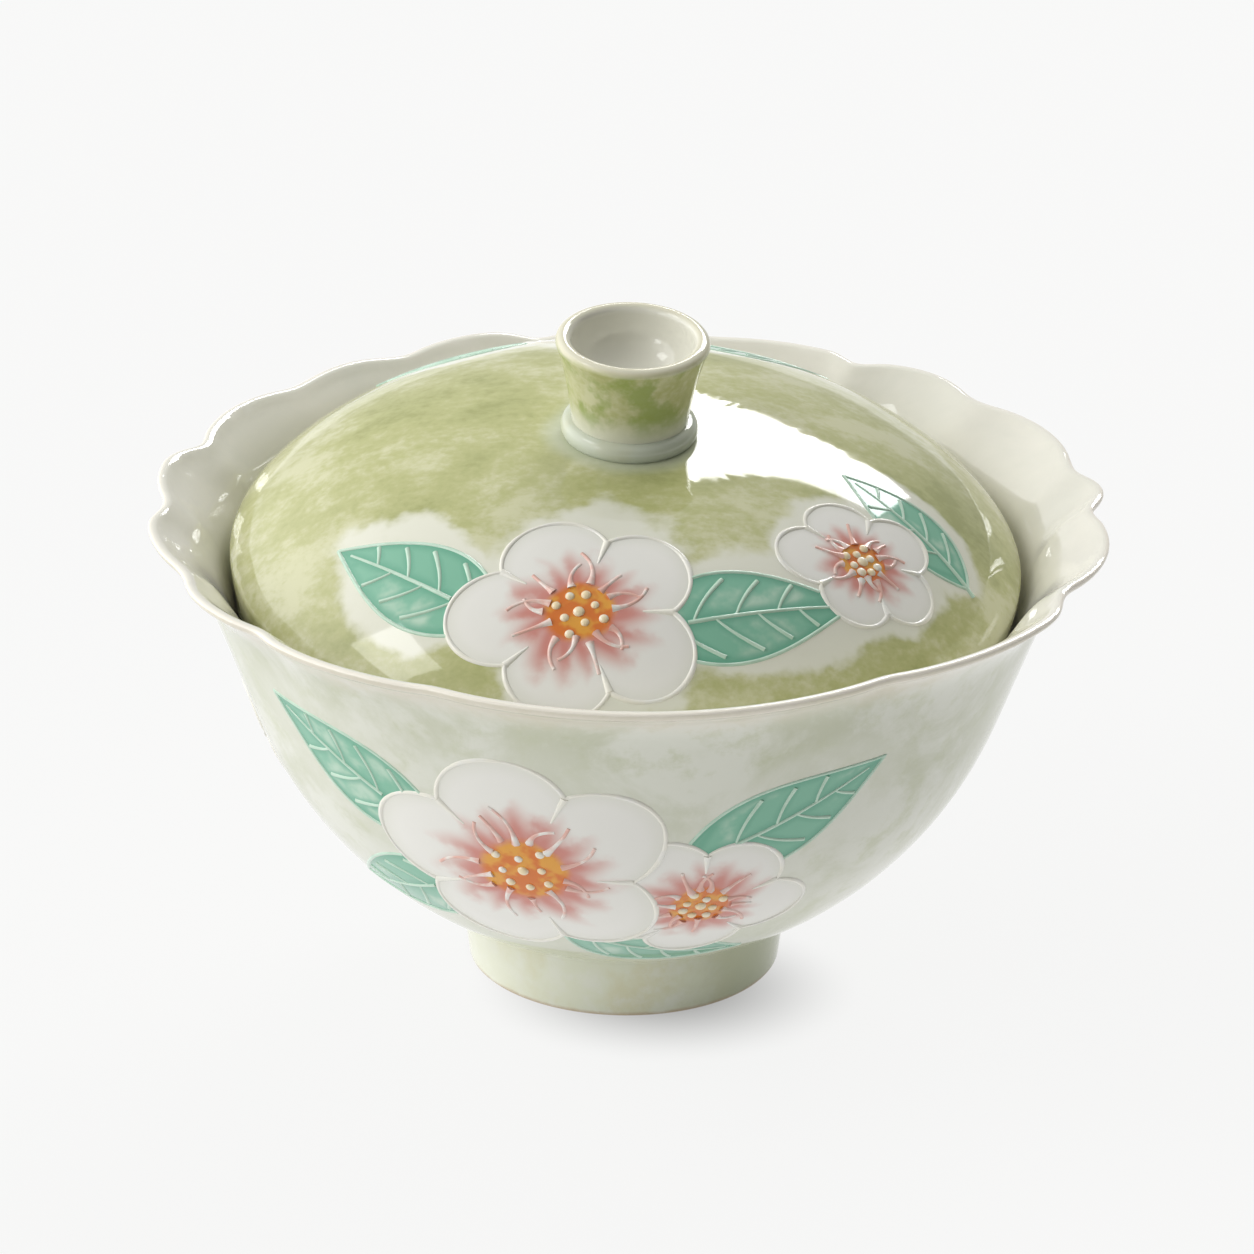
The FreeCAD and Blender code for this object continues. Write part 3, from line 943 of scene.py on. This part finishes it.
class GlazeSettings(PropertyGroup):
    """The colours of the glazes and of the underglaze painting."""

    roughness: FloatProperty(name="Roughness", description="Gloss of the glaze", default=0.05)
    celadon: tint("Celadon", "Ground outside the bowl", (0.55, 0.57, 0.43))
    celadon_pale: tint("Pale celadon", "Where that glaze runs thin", (0.70, 0.71, 0.62))
    # Moss also serves as the painted shade low down on the bowl's outside.
    celadon_moss: tint("Moss", "Greener flecks in it", (0.50, 0.53, 0.34))
    inner: tint("Inside", "Inside of the bowl and lid", (0.79, 0.77, 0.69))
    inner_shade: tint("Inside shade", "Its cooler patches", (0.74, 0.73, 0.65))
    # Painted light: the lighter inside lower down in the bowl.
    inner_painted_light: tint("Deep inside", "Lower down in the bowl", (0.89, 0.87, 0.80))
    lip: tint("Lip", "Edge of the rim", (0.90, 0.85, 0.75))
    lip_blush: tint("Lip blush", "Warm band under the rim", (0.74, 0.66, 0.55))
    foot: tint("Foot", "Glaze of the foot ring", (0.67, 0.69, 0.54))
    foot_straw: tint("Foot straw", "Its yellower patches", (0.64, 0.63, 0.44))
    # Painted light on the left of the foot.
    foot_painted_light: tint("Thin foot", "Where that glaze ran thin", (0.76, 0.77, 0.64))
    # Painted shade on the right of the foot.
    foot_painted_shade: tint("Thick foot", "Where that glaze ran thick", (0.45, 0.48, 0.32))
    bare_clay: tint("Bare clay", "Line at the table", (0.45, 0.32, 0.19))
    sage: tint("Sage", "Brushed ground of the lid", (0.45, 0.46, 0.21))
    sage_pale: tint("Pale sage", "Thin strokes of it", (0.59, 0.59, 0.37))
    sage_deep: tint("Deep sage", "Thick strokes of it", (0.34, 0.36, 0.14))
    white_ground: tint("White ground", "Where the sage fades out", (0.73, 0.73, 0.62))
    bead: tint("Bead", "Slip round the knob's root", (0.56, 0.60, 0.49))
    knob_lip: tint("Knob lip", "Edge of the knob", (0.66, 0.63, 0.46))
    knob_green: tint("Knob green", "Where the glaze of the knob is thick", (0.30, 0.37, 0.11))
    hollow: tint("Hollow", "Inside of the knob", (0.76, 0.75, 0.66))
    petal: tint("Petal", "White of the petals", (0.80, 0.79, 0.74))
    petal_edge: tint("Petal edge", "Glaze pooled along the outline", (0.66, 0.67, 0.56))
    rose: tint("Rose", "Blush of the petals", (0.58, 0.18, 0.14))
    heart: tint("Heart", "Middle of the flower", (0.66, 0.17, 0.02))
    heart_gold: tint("Heart gold", "Its yellower patches", (0.74, 0.34, 0.04))
    leaf: tint("Leaf", "Teal of the leaves", (0.20, 0.47, 0.33))
    leaf_thin: tint("Thin leaf", "Where the teal is thin", (0.45, 0.63, 0.50))
    leaf_pool: tint("Leaf pool", "Where the teal is thick", (0.08, 0.32, 0.21))
    slip_cream: tint("Cream slip", "Outlines of the petals", (0.82, 0.80, 0.71))
    slip_gold: tint("Gold slip", "Dots in the heart", (0.84, 0.70, 0.45))
    slip_rose: tint("Rose slip", "Stamens", (0.74, 0.44, 0.37))
    slip_mint: tint("Mint slip", "Veins", (0.52, 0.70, 0.57))


class SlipSettings(PropertyGroup):
    """The widths of the trailed slip."""

    outline_width: length("Petal outline", "Width of the petals' outlines", 0.78 * MM)
    vein_width: length("Vein", "Width of the leaves' veins and outlines", 0.65 * MM)
    stamen_width: length("Stamen", "Width of the stamens", 0.8 * MM)
    dot_width: length("Dot", "Width of the dots", 1.5 * MM)


class StageSettings(PropertyGroup):
    """Floor, lights and camera."""

    distance: length("Distance", "From the camera to its aim", 1.4)
    elevation: FloatProperty(
        name="Elevation", description="How steeply the camera looks down", subtype="ANGLE",
        default=math.radians(24.65),
    )
    roll: FloatProperty(
        name="Roll", description="How far the camera is turned about its view", subtype="ANGLE",
        default=math.radians(-0.73),
    )
    lens: FloatProperty(name="Lens", description="Focal length in mm", default=308.4)
    aim_height: length("Aim", "Height that the camera looks at", 46.62 * MM)
    overhead: FloatProperty(name="Overhead", description="Broad light from above", default=0.5)
    behind: FloatProperty(name="Behind", description="Broad light from behind", default=0.55)
    key: FloatProperty(name="Key", description="Broad light from the left", default=2.6)
    back: FloatProperty(name="Back", description="Radiance of the softbox behind", default=11.0)
    front: FloatProperty(
        name="Front", description="Radiance of the softbox at the front left", default=5.0
    )
    floor_glow: FloatProperty(
        name="Floor glow", description="Evens the floor out and softens its shadow", default=0.875
    )
    side: FloatProperty(name="Side", description="Radiance of the softbox on the left", default=4.5)


def direction(way, elevation):
    """The direction of a way round from +X and an elevation, both in degrees."""
    flat = math.cos(math.radians(elevation))
    across = (math.cos(math.radians(way)) * flat, math.sin(math.radians(way)) * flat)
    return Vector((*across, math.sin(math.radians(elevation))))


def add_softbox(name, box, radiance):
    """A soft rectangular light that faces the bowl."""
    light = bpy.data.lights.new(name, "AREA")
    light.shape = "RECTANGLE"
    light.size = box.width
    light.size_y = box.height
    light.energy = radiance * math.pi * box.width * box.height
    lamp = bpy.data.objects.new(name, light)
    bpy.context.scene.collection.objects.link(lamp)
    towards = direction(box.way, box.elevation)
    lamp.location = Vector((0, 0, 50 * MM)) + towards * box.distance
    facing = towards.to_track_quat("Z", "Y").to_matrix()
    lamp.rotation_euler = (facing @ Matrix.Rotation(math.radians(box.turn), 3, "Z")).to_euler()


class RICEBOWL_OT_glaze_bowl(Operator):
    """Glaze and paint the bowl's wall and its foot ring"""

    bl_idname = "ricebowl.glaze_bowl"
    bl_label = "Glaze the bowl"

    def execute(self, context):
        dress("bowl_wall", "celadon_glaze", bowl_paint, THIN_GLAZE)
        dress("foot_ring", "foot_glaze_green", foot_paint, THIN_GLAZE)
        return {"FINISHED"}


class RICEBOWL_OT_glaze_lid(Operator):
    """Glaze and paint the lid, its knob and the bead at the knob's root"""

    bl_idname = "ricebowl.glaze_lid"
    bl_label = "Glaze the lid"

    def execute(self, context):
        dress("lid_dome", "sage_glaze", lid_paint, FULL_GLAZE)
        dress("lid_knob", "knob_green_glaze", knob_paint, KNOB_GLAZE)
        dress("knob_bead", "bead_glaze", bead_paint, KNOB_GLAZE)
        return {"FINISHED"}


class RICEBOWL_OT_bowl_slip(Operator):
    """Trail the raised slip over the bowl"""

    bl_idname = "ricebowl.bowl_slip"
    bl_label = "Slip on the bowl"

    def execute(self, context):
        trail_slip(shared(bowl_motifs), "bowl")
        return {"FINISHED"}


class RICEBOWL_OT_lid_slip(Operator):
    """Trail the raised slip over the lid"""

    bl_idname = "ricebowl.lid_slip"
    bl_label = "Slip on the lid"

    def execute(self, context):
        trail_slip(shared(lid_motifs), "lid")
        return {"FINISHED"}


class RICEBOWL_OT_stage(Operator):
    """Set the floor, the lights and the camera"""

    bl_idname = "ricebowl.stage"
    bl_label = "Set the stage"

    def execute(self, context):
        scene = context.scene
        stage = scene.bowl_stage
        scene.view_settings.view_transform = "Standard"
        self.add_floor(scene, stage)
        self.add_room(scene, stage)
        for name, box in SOFTBOXES.items():
            add_softbox(f"{name}_softbox", box, getattr(stage, name))
        self.add_camera(scene, stage)
        return {"FINISHED"}

    def add_room(self, scene, stage):
        """A pale room, brightest to the left."""
        world = bpy.data.worlds.new("studio")
        world.use_nodes = True
        shader = Shader(world.node_tree)
        x, y, z = shader.parts(shader.node("ShaderNodeTexCoord")["Generated"])

        def glow(way, elevation, edge):
            """Light from one side, which fades to nothing where the cosine falls to edge."""
            towards = direction(way, elevation)
            facing = x * towards.x + y * towards.y + z * towards.z
            return shader.step(facing, edge, 1.0)

        strength = stage.overhead * glow(0, 90, 0.25)
        strength = strength + stage.behind * glow(90, 20, 0.0)
        strength = strength + stage.key * glow(178, 2, 0.35)
        background = shader.node("ShaderNodeBackground", None, {
            "Color": (1.0, 1.0, 0.99, 1.0),
            "Strength": strength,
        })
        shader.node("ShaderNodeOutputWorld", None, {"Surface": background})
        scene.world = world

    def add_floor(self, scene, stage):
        """A plain pale floor with a soft painted shadow beside the foot."""
        mesh = bpy.data.meshes.new("floor")
        sides = [(-1, -1), (1, -1), (1, 1), (-1, 1)]
        corners = [(x * FLOOR_HALF, y * FLOOR_HALF, 0) for x, y in sides]
        mesh.from_pydata(corners, [], [(0, 1, 2, 3)])
        floor = bpy.data.objects.new("floor", mesh)
        scene.collection.objects.link(floor)
        material = bpy.data.materials.new("studio_floor")
        material.use_nodes = True
        shader = Shader(material.node_tree)
        x, y, _ = shader.parts(shader.node("ShaderNodeTexCoord")["Object"])
        # Painted shadow: the floor's glow is darkened round a point in front of and right of the foot.
        x = SHADE_SPREAD * (x - SHADE_RIGHT)
        y = y + SHADE_FRONT
        open_floor = shader.step((x * x + y * y) ** 0.5, 0.0, SHADE_REACH)
        bsdf = shader.node("ShaderNodeBsdfPrincipled", None, {
            "Base Color": (0.06, 0.06, 0.06, 1.0),
            "Roughness": 0.7,
            "Specular IOR Level": 0.0,
            "Emission Color": shader.mix(open_floor, SHADE_COLOUR, FLOOR_COLOUR),
            "Emission Strength": stage.floor_glow,
        })
        shader.node("ShaderNodeOutputMaterial", None, {"Surface": bsdf})
        mesh.materials.append(material)

    def add_camera(self, scene, stage):
        """A long lens that looks down at the bowl from the front."""
        camera = bpy.data.cameras.new("camera")
        camera.sensor_width = 36.0
        camera.sensor_fit = "HORIZONTAL"
        camera.lens = stage.lens
        camera.clip_start = 0.05
        viewer = bpy.data.objects.new("camera", camera)
        scene.collection.objects.link(viewer)
        back = Vector((0, -math.cos(stage.elevation), math.sin(stage.elevation)))
        up = Vector((0, math.sin(stage.elevation), math.cos(stage.elevation)))
        axes = Matrix((Vector((1, 0, 0)), up, back)).transposed().to_4x4()
        aim = Matrix.Translation(Vector((AIM_SIDE, 0, stage.aim_height)) + back * stage.distance)
        viewer.matrix_world = aim @ axes @ Matrix.Rotation(-stage.roll, 4, "Z")
        scene.camera = viewer


class RICEBOWL_PT_panel(Panel):
    """Buttons for the steps and boxes for the settings of the rice bowl."""

    bl_idname = "RICEBOWL_PT_panel"
    bl_label = "Rice Bowl"
    bl_space_type = "VIEW_3D"
    bl_region_type = "UI"
    bl_category = "Rice Bowl"

    def draw(self, context):
        for step in STEPS:
            self.layout.operator(step.bl_idname)
        for group in SETTINGS:
            box = self.layout.box()
            for name in SETTINGS[group].__annotations__:
                box.prop(getattr(context.scene, group), name)


SETTINGS = {"bowl_glaze": GlazeSettings, "bowl_slip": SlipSettings, "bowl_stage": StageSettings}
STEPS = [
    RICEBOWL_OT_stage,
    RICEBOWL_OT_glaze_bowl,
    RICEBOWL_OT_glaze_lid,
    RICEBOWL_OT_bowl_slip,
    RICEBOWL_OT_lid_slip,
]


def register():
    for item in (*SETTINGS.values(), *STEPS, RICEBOWL_PT_panel):
        bpy.utils.register_class(item)
    for name, settings in SETTINGS.items():
        setattr(bpy.types.Scene, name, PointerProperty(type=settings))


def unregister():
    for name in SETTINGS:
        delattr(bpy.types.Scene, name)
    for item in (RICEBOWL_PT_panel, *reversed(STEPS), *reversed(SETTINGS.values())):
        bpy.utils.unregister_class(item)


def main():
    register()
    bpy.ops.ricebowl.stage()
    bpy.ops.ricebowl.glaze_bowl()
    bpy.ops.ricebowl.glaze_lid()
    bpy.ops.ricebowl.bowl_slip()
    bpy.ops.ricebowl.lid_slip()


if __name__ == "__main__":
    main()
